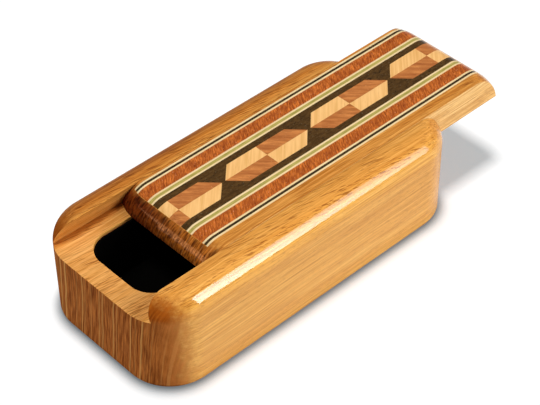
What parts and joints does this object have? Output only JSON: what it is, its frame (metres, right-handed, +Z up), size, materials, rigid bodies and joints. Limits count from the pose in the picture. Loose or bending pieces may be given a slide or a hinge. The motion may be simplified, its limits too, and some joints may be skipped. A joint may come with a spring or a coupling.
{
  "type": "slide-top wooden box",
  "caption": "Small round-cornered wooden box cut from one block, with a lined pocket and an inlaid lid that slides along a dovetail groove open at both ends.",
  "frame": {"origin": "middle of the box's flat base, on the surface that it stands on", "axes": "+X along the box towards the end where the lid stands out, +Y to the back, +Z up"},
  "size_m": [0.1274, 0.05, 0.0289],
  "materials": {
    "honey_wood": "gloss lacquer",
    "black_flock": "short flock",
    "cream_veneer": "gloss lacquer",
    "green_veneer": "gloss lacquer",
    "black_veneer": "gloss lacquer",
    "red_wood": "gloss lacquer",
    "dark_wood": "gloss lacquer",
    "pale_maple": "gloss lacquer",
    "brown_wood": "gloss lacquer"
  },
  "bodies": {
    "box": {"box_body": "honey_wood", "pocket_lining": "black_flock"},
    "lid": {"lid_blank": "honey_wood", "back_band_edge_line": "cream_veneer", "back_black_line": "black_veneer", "back_dark_border": "dark_wood", "back_green_line": "green_veneer", "back_inner_cream_line": "cream_veneer", "back_middle_cream_line": "cream_veneer", "back_outer_cream_line": "cream_veneer", "back_red_band": "red_wood", "dark_wedge_1_back": "dark_wood", "dark_wedge_1_front": "dark_wood", "dark_wedge_2_back": "dark_wood", "dark_wedge_2_front": "dark_wood", "dark_wedge_3_back": "dark_wood", "dark_wedge_3_front": "dark_wood", "front_band_edge_line": "cream_veneer", "front_black_line": "black_veneer", "front_dark_border": "dark_wood", "front_green_line": "green_veneer", "front_inner_cream_line": "cream_veneer", "front_middle_cream_line": "cream_veneer", "front_outer_cream_line": "cream_veneer", "front_red_band": "red_wood", "hexagon_1_far_back": "brown_wood", "hexagon_1_far_front": "pale_maple", "hexagon_1_near_back": "pale_maple", "hexagon_1_near_front": "brown_wood", "hexagon_2_far_back": "brown_wood", "hexagon_2_far_front": "pale_maple", "hexagon_2_near_back": "pale_maple", "hexagon_2_near_front": "brown_wood", "hexagon_3_far_back": "brown_wood", "hexagon_3_far_front": "pale_maple", "hexagon_3_near_back": "pale_maple", "hexagon_3_near_front": "brown_wood", "hexagon_4_far_back": "brown_wood", "hexagon_4_far_front": "pale_maple", "hexagon_4_near_back": "pale_maple", "hexagon_4_near_front": "brown_wood"}
  },
  "joints": [
    {"name": "lid_slide", "type": "slide", "parent": "box", "child": "lid", "axis": [1, 0, 0], "range_m": [-0.12745, 0.08275]}
  ]
}
